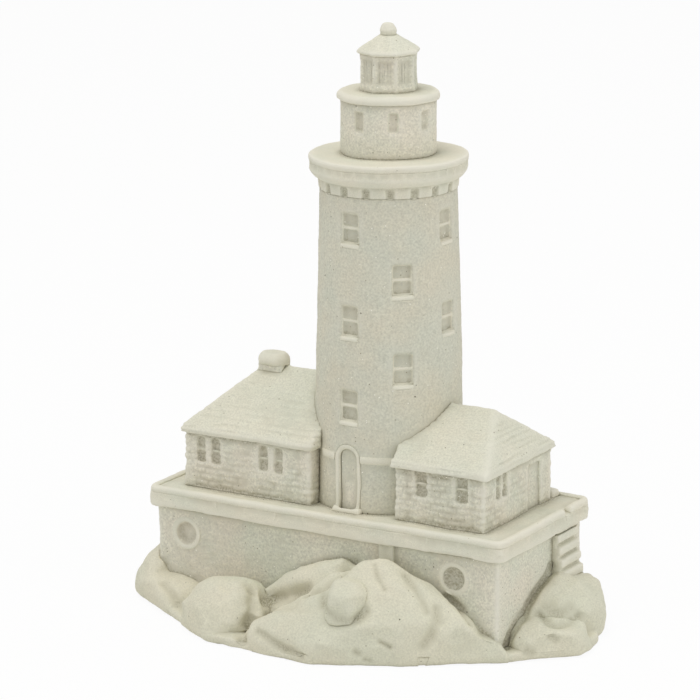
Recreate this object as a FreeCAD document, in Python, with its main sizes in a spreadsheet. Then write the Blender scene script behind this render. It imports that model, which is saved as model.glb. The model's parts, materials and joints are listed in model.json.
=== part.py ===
import FreeCAD, Part
import math
import os
import re
import Sketcher

# Garden lighthouse ornament, cast in sand and resin.
# Frame: origin on the tower's axis at the flat base, X to the right along the front,
# -Y towards the front, Z up. All sizes are in millimetres and degrees.

V = FreeCAD.Vector
doc = FreeCAD.newDocument("garden_lighthouse")
sheet = doc.addObject("Spreadsheet::Sheet", "Sizes")

sizes = {
    # Rock base
    "base_left": 66, "base_right": 66, "base_front": 51, "base_rear": 34, "base_high": 3,
    # Pier wall
    "pier_left": 60, "pier_right": 48, "pier_front": 25.5, "pier_rear": 22.3, "pier_top": 28.2,
    # Portholes in the pier wall
    "porthole_left": 50.5, "porthole_right": 34.7, "porthole_centre": 21.4, "porthole_bore": 3.2,
    "porthole_depth": 1.2, "ring_radius": 4.7, "ring_proud": 0.6,
    # Block under the coping
    "block_left": 11.8, "block_wide": 4.7, "block_out": 1, "block_low": 17,
    # Coping and deck
    "coping_left": 62.4, "coping_right": 50.3, "coping_front": 27.5, "coping_rear": 24.6,
    "band_high": 2.3, "strip_high": 1.8, "lip_high": 1.9, "lip_wide": 2.2, "lip_bevel": 0.5,
    "strip_recess": 0.7, "deck_drop": 0.8, "coping_corner": 3, "deck_corner": 1.2,
    "post_wide": 0.7, "post_pitch": 9, "notch_wide": 3.2, "notch_from": 9,
    # Tower shaft
    "tower_foot_radius": 20.8, "tower_head_radius": 18.8, "tower_tall": 87.1, "tower_turn": -3.6,
    # Tower windows
    "window_wide": 5.8, "window_tall": 8.8, "window_depth": 1.5, "sash_thick": 0.9,
    "sash_frame": 0.5, "sash_bar": 0.8, "sill_high": 1, "sill_proud": 0.7,
    # Middles of the window rows: three above the deck, two below the shaft's head
    "low_row_over": 29.6, "odd_row_over": 40.6, "mid_row_over": 53.2, "odd_row_under": 22.1,
    "high_row_under": 8.7,
    # Door
    "door_wide": 7.8, "door_spring": 14.9, "door_depth": 1.7, "door_frame": 1.1,
    "door_proud": 0.5, "door_leaf_thick": 0.7, "door_light_wide": 2.6, "door_light_low": 8,
    "door_light_tall": 7.4, "door_light_depth": 0.4, "step_wide": 9.4, "step_out": 2,
    "step_high": 1.5,
    # Eaves round the tower
    "bay_eave_out": 1.3, "bay_eave_high": 1.9, "bay_eave_low": 14.3, "bay_eave_gap": 0.2,
    # Left house
    "left_inner": 12.8, "left_outer": 53.9, "left_walls": 15.8, "left_ridge": 33.4,
    "left_hip": 16.3,
    # Right house
    "right_inner": 13.7, "right_outer": 41.2, "right_walls": 14.9, "right_ridge": 29.4,
    "right_hip": 8,
    # Both houses
    "house_front": 20.6, "house_rear": 17.5, "eave_out": 1.3, "eave_band": 1.8, "quoin_wide": 3,
    "quoin_proud": 0.3, "house_light_tall": 7.2, "light_depth": 1.2, "light_bar": 0.6,
    "light_thick": 0.5, "light_low": 7.6, "course_step": 0.25,
    # House window lights
    "left_light_wide": 2.7, "left_mullion": 2.1, "left_pair_one": 46.2, "left_pair_two": 25.9,
    "right_light_wide": 3.4, "right_light_one": 21.6, "right_light_two": 34.2,
    "side_light_wide": 2.5, "side_mullion": 1.1, "side_pair": 10.2, "side_door_at": 7.8,
    "side_door_wide": 6.8, "side_door_tall": 12.6, "side_door_depth": 1.4, "side_door_thick": 0.6,
    # Chimney
    "chimney_at": 36.2, "chimney_long": 7.8, "chimney_deep": 5.4, "chimney_over_ridge": 0.1,
    "chimney_cap_long": 9.6, "chimney_cap_deep": 7.6, "chimney_cap_high": 3.2,
    "chimney_cap_corner": 2.4, "chimney_cap_bevel": 1.2,
    # Gallery and its corbels
    "gallery_out": 0.6, "gallery_band": 2.1, "gallery_strip": 2.2, "gallery_lip": 1.7,
    "gallery_recess": 0.7, "rail_post_wide": 0.6, "corbel_foot_out": 1.1,
    "corbel_head_out": 2.3, "corbel_high": 3.1, "corbel_gap": 2.2, "corbel_gap_depth": 0.7,
    "corbel_gap_head": 0.3, "corbel_turn": 11.6,
    # Watch room
    "watch_radius": 13, "watch_tall": 14.9, "watch_turn": -8.7, "watch_window_wide": 3.3,
    "watch_window_tall": 5.7, "watch_window_low": 7.3, "watch_window_depth": 1,
    "watch_sash_thick": 0.5, "watch_sash_frame": 0.45,
    # Lantern gallery
    "lantern_gallery_radius": 14, "lantern_gallery_high": 2.2, "lantern_gallery_bevel": 0.8,
    # Lantern room and roof
    "lantern_radius": 8.1, "lantern_tall": 10.3, "pane_wide": 4.7, "pane_low": 2.1,
    "pane_tall": 7, "pane_depth": 0.7, "pane_thick": 0.25, "lantern_eave_radius": 8.9,
    "lantern_eave": 0.8, "cone_high": 3.8, "cone_top_radius": 2.6, "finial_radius": 2.4,
    "finial_high": 3.3,
    # Stair on the pier's right side
    "stair_front": 5, "stair_rear": 17, "stair_out": 2.3, "stair_spread": 0.55,
    "stair_pitch": 3.4, "tread_high": 2.4, "stair_top": 27.6,
    # Block behind the right house
    "rear_block_wide": 9, "rear_block_deep": 4.6, "rear_block_high": 2.2,
}

# Counts of what repeats.
corbelCount = 18
railPostCount = 40
stairTreads = 4
roofCourses = 6
lanternSides = 8
watchWindows = 8
towerSides = 4
towerEnds = 2

# Boulders: centre x, y, half length, half depth, heights of the foot and the top, turn of
# the long axis, rise per millimetre along it, how full the crown is (1 a cone, 2 a dome),
# and how far the top leans in x and y from the centre.
boulders = {
    "centre_boulder": (12.5, -38, 31, 14.5, 3, 26, 13, 0, 1.35, 4, 7),
    "front_left_boulder": (-30, -38.5, 14, 13, 3, 15, 5, 0, 2.1, 1, 3),
    "leaning_slab": (-7, -30, 20, 7.5, 3, 20.5, 4, 0.42, 2.4, 0, 1.5),
    "ball_boulder": (12.6, -43, 7.6, 7.6, 9.5, 23, 0, 0, 2.6, 0, 0),
    "front_right_rock": (37, -33.5, 15, 10, 3, 10.5, 22, -0.1, 2, -1, 3),
    "right_stair_rock": (51, 4, 9.5, 18, 3, 15.5, 0, -0.1, 2.6, 0, 4),
    "right_corner_rock": (54, -10, 12.5, 13, 3, 10.5, 15, -0.1, 2.2, -1, 2),
    "left_side_rock": (-62, -18.5, 8.5, 11.5, 3, 16.5, 0, 0.25, 1.9, 1, 0),
    "left_rear_rock": (-61, 4, 8, 15, 3, 11, 0, 0.1, 2, 0, 0),
    "rear_left_boulder": (-38, 24, 19, 8.5, 3, 13, 0, 0, 2, 0, 0),
    "rear_middle_boulder": (-3, 25, 18, 7.5, 3, 9, 0, 0, 2, 0, 0),
    "rear_right_boulder": (32, 23, 18, 8.5, 3, 15, 0, 0.1, 1.9, 0, 0),
}
boulderSizes = ("x", "y", "long", "deep", "foot", "top", "turn", "rise", "crown", "lean",
                "set_back")
boulderSides = 10
boulderRings = (0, 0.22, 0.5, 0.76, 0.93)
boulderLump = 0.05
boulderUndercut = 0.07

for boulderName, values in boulders.items():
    for key, number in zip(boulderSizes, values):
        sizes[boulderName + "_" + key] = number

for row, (alias, number) in enumerate(sizes.items(), 1):
    sheet.set("A%d" % row, alias.replace("_", " "))
    sheet.set("B%d" % row, str(number))
    sheet.setAlias("B%d" % row, alias)
doc.recompute()

# Heights that several pieces share, worked out from the sizes above.
bandTop = "(pier_top + band_high)"
stripTop = "(pier_top + band_high + strip_high)"
copingTop = "(pier_top + band_high + strip_high + lip_high)"
deckFloor = "(pier_top + band_high + strip_high + lip_high - deck_drop)"
chimneyNeck = "(" + deckFloor + " + left_ridge + chimney_over_ridge)"
towerTop = "(" + deckFloor + " + tower_tall)"
corbelTop = "(" + towerTop + " + corbel_high)"
galleryBandTop = "(" + corbelTop + " + gallery_band)"
galleryStripTop = "(" + galleryBandTop + " + gallery_strip)"
galleryTop = "(" + galleryStripTop + " + gallery_lip)"
watchTop = "(" + galleryTop + " + watch_tall)"
lanternFloor = "(" + watchTop + " + lantern_gallery_high)"
lanternTop = "(" + lanternFloor + " + lantern_tall)"
coneBase = "(" + lanternTop + " + lantern_eave)"
coneTop = "(" + coneBase + " + cone_high)"


# Radii round the tower's head, each standing out from the one below it.
corbelFoot = "(tower_head_radius + corbel_foot_out)"
corbelHead = "(tower_head_radius + corbel_head_out)"
galleryRadius = "(tower_head_radius + corbel_head_out + gallery_out)"


def bound(expression):
    """The expression with each size's name pointed at the sheet."""
    return re.sub(r"\b([a-z]+(?:_[a-z]+)+)\b", r"Sizes.\1", expression)


def value(expression):
    """The expression's number for the present sizes."""
    return float(sheet.evalExpression(bound(expression)))


def towerRadius(height):
    """The shaft's radius at a height, as an expression."""
    taper = "(tower_foot_radius - tower_head_radius) / tower_tall"
    return "(tower_foot_radius - (%s - %s) * %s)" % (height, deckFloor, taper)


def newBody(label):
    body = doc.addObject("PartDesign::Body", label)
    body.Label = label
    return body


def originFeature(body, role):
    return next(f for f in body.Origin.OriginFeatures if f.Role == role)


def newSketch(body, name, role, offset="0"):
    """A sketch on one of the body's own planes, moved along its normal."""
    sketch = body.newObject("Sketcher::SketchObject", name)
    sketch.AttachmentSupport = [(originFeature(body, role), "")]
    sketch.MapMode = "FlatFace"
    if offset != "0":
        sketch.setExpression("AttachmentOffset.Base.z", bound(offset))
    return sketch


def pin(sketch, geometry, point, x, y):
    """Hold a point of the sketch at x, y, both expressions."""
    for kind, axis, text in (("DistanceX", -2, x), ("DistanceY", -1, y)):
        if text == "0":
            sketch.addConstraint(Sketcher.Constraint("PointOnObject", geometry, point, axis))
            continue
        number = value(text)
        held = Sketcher.Constraint(kind, -1, 1, geometry, point, number)
        sketch.setExpression("Constraints[%d]" % sketch.addConstraint(held), bound(text))


def addPolygon(sketch, corners):
    """A closed outline of straight lines through the corners."""
    first = sketch.GeometryCount
    places = [V(value(x), value(y), 0) for x, y in corners]
    count = len(corners)
    for i in range(count):
        sketch.addGeometry(Part.LineSegment(places[i], places[(i + 1) % count]), False)
    for i in range(count):
        follower = first + (i + 1) % count
        sketch.addConstraint(Sketcher.Constraint("Coincident", first + i, 2, follower, 1))
    for i, (x, y) in enumerate(corners):
        pin(sketch, first + i, 1, x, y)


def addRectangle(sketch, left, low, right, high):
    addPolygon(sketch, [(left, low), (right, low), (right, high), (left, high)])


def regularCorners(radius, sides):
    """Corners of a regular outline with one corner straight ahead."""
    corners = []
    for i in range(sides):
        angle = 360 / sides * i
        corners.append(("(%s) * sin(%.6g)" % (radius, angle) if angle % 180 else "0",
                        "-(%s) * cos(%.6g)" % (radius, angle) if (angle + 90) % 180 else "0"))
    return corners


def addCircle(sketch, x, y, radius):
    circle = Part.Circle(V(value(x), value(y), 0), V(0, 0, 1), value(radius))
    index = sketch.addGeometry(circle, False)
    pin(sketch, index, 3, x, y)
    held = Sketcher.Constraint("Radius", index, value(radius))
    sketch.setExpression("Constraints[%d]" % sketch.addConstraint(held), bound(radius))


def addRounded(sketch, left, low, right, high, corner):
    """A rectangle with an arc at each corner."""
    a, b, c, d, r = (value(text) for text in (left, low, right, high, corner))
    first = sketch.GeometryCount
    ends = [V(a + r, b, 0), V(c - r, b, 0), V(c, b + r, 0), V(c, d - r, 0),
            V(c - r, d, 0), V(a + r, d, 0), V(a, d - r, 0), V(a, b + r, 0)]
    centres = [V(c - r, b + r, 0), V(c - r, d - r, 0), V(a + r, d - r, 0), V(a + r, b + r, 0)]
    for i in range(4):
        sketch.addGeometry(Part.LineSegment(ends[2 * i], ends[2 * i + 1]), False)
        start = -math.pi / 2 + i * math.pi / 2
        circle = Part.Circle(centres[i], V(0, 0, 1), r)
        sketch.addGeometry(Part.ArcOfCircle(circle, start, start + math.pi / 2), False)
    for i in range(8):
        follower = first + (i + 1) % 8
        sketch.addConstraint(Sketcher.Constraint("Tangent", first + i, 2, follower, 1))
    for i in (0, 4):
        sketch.addConstraint(Sketcher.Constraint("Horizontal", first + i))
        sketch.addConstraint(Sketcher.Constraint("Vertical", first + i + 2))
    for i in (3, 5, 7):
        sketch.addConstraint(Sketcher.Constraint("Equal", first + 1, first + i))
    held = (("DistanceY", 0, low), ("DistanceX", 2, right), ("DistanceY", 4, high),
            ("DistanceX", 6, left))
    for kind, side, text in held:
        rule = Sketcher.Constraint(kind, -1, 1, first + side, 1, value(text))
        sketch.setExpression("Constraints[%d]" % sketch.addConstraint(rule), bound(text))
    rule = Sketcher.Constraint("Radius", first + 1, r)
    sketch.setExpression("Constraints[%d]" % sketch.addConstraint(rule), bound(corner))


def addArch(sketch, halfWidth, low, spring):
    """A doorway outline: two jambs under a half-round head."""
    w, a, b = value(halfWidth), value(low), value(spring)
    first = sketch.GeometryCount
    minus = "-(%s)" % halfWidth
    sketch.addGeometry(Part.LineSegment(V(-w, a, 0), V(w, a, 0)), False)
    sketch.addGeometry(Part.LineSegment(V(w, a, 0), V(w, b, 0)), False)
    head = Part.ArcOfCircle(Part.Circle(V(0, b, 0), V(0, 0, 1), w), 0, math.pi)
    sketch.addGeometry(head, False)
    sketch.addGeometry(Part.LineSegment(V(-w, b, 0), V(-w, a, 0)), False)
    for start, end in ((0, 1), (2, 3), (3, 0)):
        join = Sketcher.Constraint("Coincident", first + start, 2, first + end, 1)
        sketch.addConstraint(join)
    sketch.addConstraint(Sketcher.Constraint("Coincident", first + 1, 2, first + 2, 1))
    pin(sketch, first, 1, minus, low)
    pin(sketch, first, 2, halfWidth, low)
    pin(sketch, first + 1, 2, halfWidth, spring)
    pin(sketch, first + 3, 1, minus, spring)
    middle = Sketcher.Constraint("DistanceY", -1, 1, first + 2, 3, b)
    sketch.setExpression("Constraints[%d]" % sketch.addConstraint(middle), bound(spring))


def feature(body, kind, sketch, length=None, reverse=False):
    """A pad, pocket, revolution or groove made from a sketch."""
    made = body.newObject("PartDesign::" + kind, body.Label + "_" + kind)
    made.Profile = sketch
    if kind in ("Pad", "Pocket"):
        made.setExpression("Length", bound(length))
    else:
        made.ReferenceAxis = (sketch, ["V_Axis"])
        made.Angle = 360
    made.Reversed = reverse
    sketch.Visibility = False
    return made


def aroundZ(body, originals, count):
    """Copies of features, evenly spaced round the vertical axis."""
    pattern = body.newObject("PartDesign::PolarPattern", body.Label + "_pattern")
    pattern.Originals = originals
    pattern.Axis = (originFeature(body, "Z_Axis"), [""])
    pattern.Angle = 360
    pattern.Occurrences = count
    body.Tip = pattern
    return pattern


def padded(body, name, role, offset, length, *outlines):
    """A pad of rectangles, each left, low, right, high."""
    sketch = newSketch(body, name, role, offset)
    for outline in outlines:
        addRectangle(sketch, *outline)
    return feature(body, "Pad", sketch, length)


def pocketed(body, name, role, offset, length, *outlines):
    """Rectangles cut along the plane's own normal, from the offset outwards."""
    sketch = newSketch(body, name, role, offset)
    for outline in outlines:
        addRectangle(sketch, *outline)
    return feature(body, "Pocket", sketch, length, True)


def edgesOf(shape, test):
    """Names of the shape's edges that pass a test."""
    return ["Edge%d" % (i + 1) for i, edge in enumerate(shape.Edges) if test(edge)]


def liesAt(edge, height):
    """True for an edge that runs level at a height."""
    box = edge.BoundBox
    return abs(box.ZMin - height) < 1e-4 and abs(box.ZMax - height) < 1e-4


def bevelled(body, base, size, test):
    doc.recompute()
    chamfer = body.newObject("PartDesign::Chamfer", body.Label + "_bevel")
    chamfer.Base = (base, edgesOf(base.Shape, test))
    chamfer.setExpression("Size", bound(size))
    return chamfer


def revolved(label, *profiles):
    """A turned piece: closed outlines of radius and height about the Z axis."""
    body = newBody(label)
    sketch = newSketch(body, label + "_profile", "XZ_Plane")
    for profile in profiles:
        addPolygon(sketch, profile)
    feature(body, "Revolution", sketch)
    return body


def group(label, shapes):
    """Several like solids kept together as one piece of the list."""
    made = doc.addObject("Part::Feature", label)
    made.Label = label
    made.Shape = Part.makeCompound(shapes)
    return made


def copyOf(body, placement):
    """A body's solid, moved as the placement says."""
    shape = body.Shape.copy()
    shape.Placement = placement.multiply(shape.Placement)
    return shape


def turned(angle, x=0.0, y=0.0, z=0.0):
    """A placement: first the move, then a turn about the tower's axis."""
    turn = FreeCAD.Placement(V(0, 0, 0), FreeCAD.Rotation(V(0, 0, 1), angle))
    return turn.multiply(FreeCAD.Placement(V(x, y, z), FreeCAD.Rotation()))


parts = []
patterns = []


# Rock base: a low plate with a broken outline that the pier and the boulders stand on.
def makeRockBase():
    body = newBody("rock_base")
    sketch = newSketch(body, "rock_base_outline", "XY_Plane")
    addPolygon(sketch, [
        ("-base_left", "-base_front * 0.48"), ("-base_left * 0.82", "-base_front * 0.66"),
        ("-base_left * 0.62", "-base_front * 0.84"), ("-base_left * 0.45", "-base_front"),
        ("-base_left * 0.2", "-base_front"), ("base_right * 0.06", "-base_front * 1.05"),
        ("base_right * 0.42", "-base_front * 0.82"),
        ("base_right * 0.78", "-base_front * 0.48"), ("base_right", "-base_front * 0.2"),
        ("base_right * 0.97", "base_rear * 0.08"), ("base_right * 0.84", "base_rear * 0.5"),
        ("base_right * 0.66", "base_rear * 0.9"), ("base_right * 0.2", "base_rear"),
        ("-base_left * 0.4", "base_rear * 0.94"), ("-base_left * 0.85", "base_rear * 0.9"),
        ("-base_left * 1.04", "base_rear * 0.3")])
    feature(body, "Pad", sketch, "base_high")
    return body


# Pier wall: a block of masonry with a shallow round recess behind each porthole ring.
def makePierWall():
    body = newBody("pier_wall")
    padded(body, "pier_plan", "XY_Plane", "base_high", "pier_top - base_high",
           ("-pier_left", "-pier_front", "pier_right", "pier_rear"))
    sketch = newSketch(body, "porthole_bores", "XZ_Plane", "pier_front - porthole_depth")
    for across in ("-porthole_left", "porthole_right"):
        addCircle(sketch, across, "porthole_centre", "porthole_bore")
    feature(body, "Pocket", sketch, "porthole_depth * 2", True)
    return body


# Porthole rings: one flat ring, set on the wall twice.
def makePortholeRings():
    body = newBody("porthole_ring_pattern")
    sketch = newSketch(body, "porthole_ring_outline", "XZ_Plane")
    addCircle(sketch, "0", "0", "ring_radius")
    addCircle(sketch, "0", "0", "porthole_bore")
    feature(body, "Pad", sketch, "ring_proud")
    doc.recompute()
    patterns.append(body)
    height = value("porthole_centre")
    front = -value("pier_front")
    places = [V(across, front, height)
              for across in (-value("porthole_left"), value("porthole_right"))]
    return group("porthole_rings", [copyOf(body, FreeCAD.Placement(place, FreeCAD.Rotation()))
                                    for place in places])


# Small block between the centre boulder and the underside of the coping.
def makeWallBlock():
    body = newBody("wall_block")
    padded(body, "wall_block_face", "XZ_Plane", "pier_front", "block_out",
           ("block_left", "block_low", "block_left + block_wide", "pier_top"))
    return body


# Deck: three steps of slab, so that the coping's strip lies back between band and lip.
def copingOutline(sketch, inset, corner):
    addRounded(sketch, "-coping_left + " + inset, "-coping_front + " + inset,
               "coping_right - " + inset, "coping_rear - " + inset, corner)


def makeDeckSlab():
    body = newBody("deck_slab")
    levels = (("band", "pier_top", "band_high", "0", "coping_corner"),
              ("strip", bandTop, "strip_high", "strip_recess", "coping_corner - strip_recess"),
              ("floor", stripTop, "lip_high - deck_drop", "lip_wide", "deck_corner"))
    for name, low, high, inset, corner in levels:
        sketch = newSketch(body, "deck_" + name, "XY_Plane", low)
        copingOutline(sketch, inset, corner)
        feature(body, "Pad", sketch, high)
    return body


# Lip: a frame round the deck with a bevelled top, notched where the stair arrives.
def makeCopingLip():
    body = newBody("coping_lip")
    sketch = newSketch(body, "lip_outline", "XY_Plane", stripTop)
    copingOutline(sketch, "0", "coping_corner")
    copingOutline(sketch, "lip_wide", "deck_corner")
    pad = feature(body, "Pad", sketch, "lip_high")
    top = value(copingTop)
    front = -value("coping_front")
    bevelled(body, pad, "lip_bevel",
             lambda edge: liesAt(edge, top) and edge.BoundBox.YMax < front + 1e-4)
    pocketed(body, "lip_notch", "YZ_Plane", "coping_right - lip_wide * 1.5", "lip_wide * 2",
             ("notch_from", stripTop, "notch_from + notch_wide", copingTop + " + 1"))
    return body


# Posts in the coping's strip, standing on the band and level with the lip's face.
def makeCopingPosts():
    body = newBody("coping_post_pattern")
    padded(body, "coping_post_plan", "XY_Plane", "0", "strip_high",
           ("-post_wide / 2", "0", "post_wide / 2", "strip_recess"))
    doc.recompute()
    patterns.append(body)
    low = value(bandTop)
    pitch = value("post_pitch")
    corner = value("coping_corner + post_wide")
    left, right = -value("coping_left"), value("coping_right")
    front, rear = -value("coping_front"), value("coping_rear")
    runs = ((left + corner, front, 0, right - left), (right, front + corner, 90, rear - front),
            (right - corner, rear, 180, right - left), (left, rear - corner, 270, rear - front))
    shapes = []
    for x, y, angle, length in runs:
        count = int((length - 2 * corner) / pitch) + 1
        step = (length - 2 * corner) / (count - 1)
        for i in range(count):
            along = FreeCAD.Rotation(V(0, 0, 1), angle).multVec(V(i * step, 0, 0))
            place = FreeCAD.Placement(V(x, y, low) + along, FreeCAD.Rotation(V(0, 0, 1), angle))
            shapes.append(copyOf(body, place))
    return group("coping_posts", shapes)


# Tower: a tapered shaft with a flat seat cut for each window and for the door.
windowRows = (
    ("high", "(%s - high_row_under)" % towerTop, 0, towerSides),
    ("mid", "(%s + mid_row_over)" % deckFloor, 0, towerSides),
    ("low", "(%s + low_row_over)" % deckFloor, 0, towerEnds),
    ("odd_high", "(%s - odd_row_under)" % towerTop, 45, towerEnds),
    ("odd_low", "(%s + odd_row_over)" % deckFloor, 45, towerEnds))


def windowSeat(height):
    """How far from the axis a window's flat seat lies."""
    return "(%s - window_depth)" % towerRadius(height)


def doorSeat():
    return "(%s - door_depth)" % towerRadius("(%s + door_spring)" % deckFloor)


def makeTowerShaft():
    body = revolved("tower_shaft", [
        ("0", deckFloor), ("tower_foot_radius", deckFloor),
        ("tower_head_radius", towerTop), ("0", towerTop)])
    for row, height, start, count in windowRows:
        seat = windowSeat(height)
        sketch = newSketch(body, "seat_" + row, "XZ_Plane")
        if start:
            turn = FreeCAD.Rotation(V(0, 1, 0), start)
            sketch.AttachmentOffset = FreeCAD.Placement(V(0, 0, 0), turn)
            sketch.setExpression("AttachmentOffset.Base.x",
                                 bound("%s * sin(%d)" % (seat, start)))
            sketch.setExpression("AttachmentOffset.Base.z",
                                 bound("%s * cos(%d)" % (seat, start)))
        else:
            sketch.setExpression("AttachmentOffset.Base.z", bound(seat))
        addRectangle(sketch, "-window_wide / 2", height + " - window_tall / 2 - sill_high",
                     "window_wide / 2", height + " + window_tall / 2")
        cut = feature(body, "Pocket", sketch, "window_depth * 3", True)
        aroundZ(body, [cut], count)
    sketch = newSketch(body, "door_seat", "XZ_Plane", doorSeat())
    addArch(sketch, "door_wide / 2", deckFloor, "%s + door_spring" % deckFloor)
    cut = feature(body, "Pocket", sketch, "door_depth * 4", True)
    body.Tip = cut
    body.setExpression("Placement.Rotation.Angle", bound("tower_turn"))
    return body


def eachTowerWindow():
    """Angle, seat distance and middle height of every tower window."""
    for row, height, start, count in windowRows:
        for i in range(count):
            angle = start + i * 360 / count + value("tower_turn")
            yield angle, value(windowSeat(height)), value(height)


# Sashes: a thin frame with one bar across, let into each seat of the shaft.
def makeTowerSashes():
    body = newBody("tower_sash_pattern")
    sketch = newSketch(body, "sash_face", "XZ_Plane")
    addRectangle(sketch, "-window_wide / 2", "-window_tall / 2",
                 "window_wide / 2", "window_tall / 2")
    for low, high in (("-window_tall / 2 + sash_frame", "-sash_bar / 2"),
                      ("sash_bar / 2", "window_tall / 2 - sash_frame")):
        addRectangle(sketch, "-window_wide / 2 + sash_frame", low,
                     "window_wide / 2 - sash_frame", high)
    feature(body, "Pad", sketch, "sash_thick")
    doc.recompute()
    patterns.append(body)
    return group("tower_sashes", [copyOf(body, turned(angle, 0, -seat, middle))
                                  for angle, seat, middle in eachTowerWindow()])


# Sills: a block under each sash that stands out from the shaft.
def makeTowerSills():
    body = newBody("tower_sill_pattern")
    pad = padded(body, "sill_face", "XZ_Plane", "0", "window_depth + sill_proud",
                 ("-window_wide / 2", "-window_tall / 2 - sill_high",
                  "window_wide / 2", "-window_tall / 2"))
    out = -value("window_depth + sill_proud")
    bevelled(body, pad, "sill_high * 0.35",
             lambda edge: edge.BoundBox.YMax < out + 1e-4 and edge.BoundBox.ZLength < 1e-4)
    doc.recompute()
    patterns.append(body)
    return group("tower_sills", [copyOf(body, turned(angle, 0, -seat, middle))
                                 for angle, seat, middle in eachTowerWindow()])


# Door: an arched frame that stands proud of the shaft, and a leaf with a light in it.
def makeDoorFrame():
    body = newBody("door_frame")
    sketch = newSketch(body, "door_frame_face", "XZ_Plane", doorSeat())
    spring = "%s + door_spring" % deckFloor
    addArch(sketch, "door_wide / 2", deckFloor, spring)
    feature(body, "Pad", sketch, "door_depth + door_proud")
    sketch = newSketch(body, "door_opening", "XZ_Plane", doorSeat())
    addArch(sketch, "door_wide / 2 - door_frame", deckFloor, spring)
    feature(body, "Pocket", sketch, "door_depth + door_proud", True)
    body.setExpression("Placement.Rotation.Angle", bound("tower_turn"))
    return body


def makeDoorLeaf():
    body = newBody("door_leaf")
    sketch = newSketch(body, "door_leaf_face", "XZ_Plane", doorSeat())
    addArch(sketch, "door_wide / 2 - door_frame", deckFloor, "%s + door_spring" % deckFloor)
    feature(body, "Pad", sketch, "door_leaf_thick")
    low = "%s + door_light_low" % deckFloor
    pocketed(body, "door_light", "XZ_Plane",
             "%s + door_leaf_thick - door_light_depth" % doorSeat(), "door_light_depth",
             ("-door_light_wide / 2", low, "door_light_wide / 2", low + " + door_light_tall"))
    body.setExpression("Placement.Rotation.Angle", bound("tower_turn"))
    return body


def grooveForTower(body):
    """Take the tower's shaft out of a body that stands against it."""
    sketch = newSketch(body, body.Label + "_tower_profile", "XZ_Plane")
    addPolygon(sketch, [("0", deckFloor), ("tower_foot_radius", deckFloor),
                        ("tower_head_radius", towerTop), ("0", towerTop)])
    return feature(body, "Groove", sketch)


# Step at the foot of the door, hollowed to the shaft and clear of the door's frame.
def makeDoorStep():
    body = newBody("door_step")
    padded(body, "door_step_plan", "XY_Plane", deckFloor, "step_high",
           ("-step_wide / 2", "-tower_foot_radius - step_out", "step_wide / 2",
            "-tower_foot_radius + step_out"))
    grooveForTower(body)
    pocketed(body, "door_step_recess", "XZ_Plane", doorSeat(), "door_depth + door_proud",
             ("-door_wide / 2", deckFloor, "door_wide / 2", "%s + step_high" % deckFloor))
    body.setExpression("Placement.Rotation.Angle", bound("tower_turn"))
    return body


# Eaves that run round the shaft, from the end of each house's roof to the door's frame.
def makeBayEave(side, sign):
    label = side + "_bay_eave"
    body = newBody(label)
    low = "(%s + bay_eave_low)" % deckFloor
    high = "(%s + bay_eave_high)" % low
    outer = "(%s + bay_eave_out)" % towerRadius(low)
    sketch = newSketch(body, label + "_section", "XZ_Plane")
    addPolygon(sketch, [(towerRadius(low), low), (outer, low), (outer, high),
                        (towerRadius(high), high)])
    roofEnd = "asin((%s_inner - eave_out - bay_eave_gap) / %s) / (1 deg)" % (side, outer)
    frameEdge = "asin((door_wide / 2 + bay_eave_gap) / %s) / (1 deg)" % towerRadius(high)
    turn = feature(body, "Revolution", sketch)
    turn.setExpression("Angle", bound("%s - %s - %d * tower_turn" % (roofEnd, frameEdge, sign)))
    start = "-90 - " + roofEnd if sign < 0 else "-90 + tower_turn + " + frameEdge
    body.setExpression("Placement.Rotation.Angle", bound(start))
    return body


# Houses: walls hollowed to the tower, with corner strips and a recess for each light.
def makeHouseWalls(side, sign):
    body = newBody(side + "_house_walls")
    inner, outer = side + "_inner", side + "_outer"

    def across(near, far):
        """A span in X, on this house's side of the tower."""
        return (near, far) if sign > 0 else ("-(%s)" % far, "-(%s)" % near)

    x0, x1 = across(inner, outer)
    walls = side + "_walls"
    padded(body, side + "_house_plan", "XY_Plane", deckFloor, walls,
           (x0, "-house_front", x1, "house_rear"))
    for near, far in ((inner, inner + " + quoin_wide"), (outer + " - quoin_wide", outer)):
        q0, q1 = across(near, far)
        padded(body, side + "_quoin", "XY_Plane", deckFloor, walls,
               (q0, "-house_front - quoin_proud", q1, "-house_front"),
               (q0, "house_rear", q1, "house_rear + quoin_proud"))
    grooveForTower(body)
    low = "%s + light_low" % deckFloor
    spans = [across(a, b) for a, b in houseLights(side)]
    boxes = [(a, low, b, low + " + house_light_tall") for a, b in spans]
    pocketed(body, side + "_front_lights", "XZ_Plane", "house_front - light_depth",
             "light_depth * 2", *boxes)
    pocketed(body, side + "_rear_lights", "XZ_Plane", "-house_rear - light_depth",
             "light_depth * 2", *boxes)
    if side == "right":
        wall = "%s - light_depth" % outer
        boxes = [(a, low, b, low + " + house_light_tall") for a, b in sideLights()]
        pocketed(body, "right_side_lights", "YZ_Plane", wall, "light_depth * 2", *boxes)
        pocketed(body, "right_side_doorway", "YZ_Plane", "%s - side_door_depth" % outer,
                 "side_door_depth * 2",
                 ("side_door_at - side_door_wide / 2", deckFloor,
                  "side_door_at + side_door_wide / 2", "%s + side_door_tall" % deckFloor))
    return body


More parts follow.
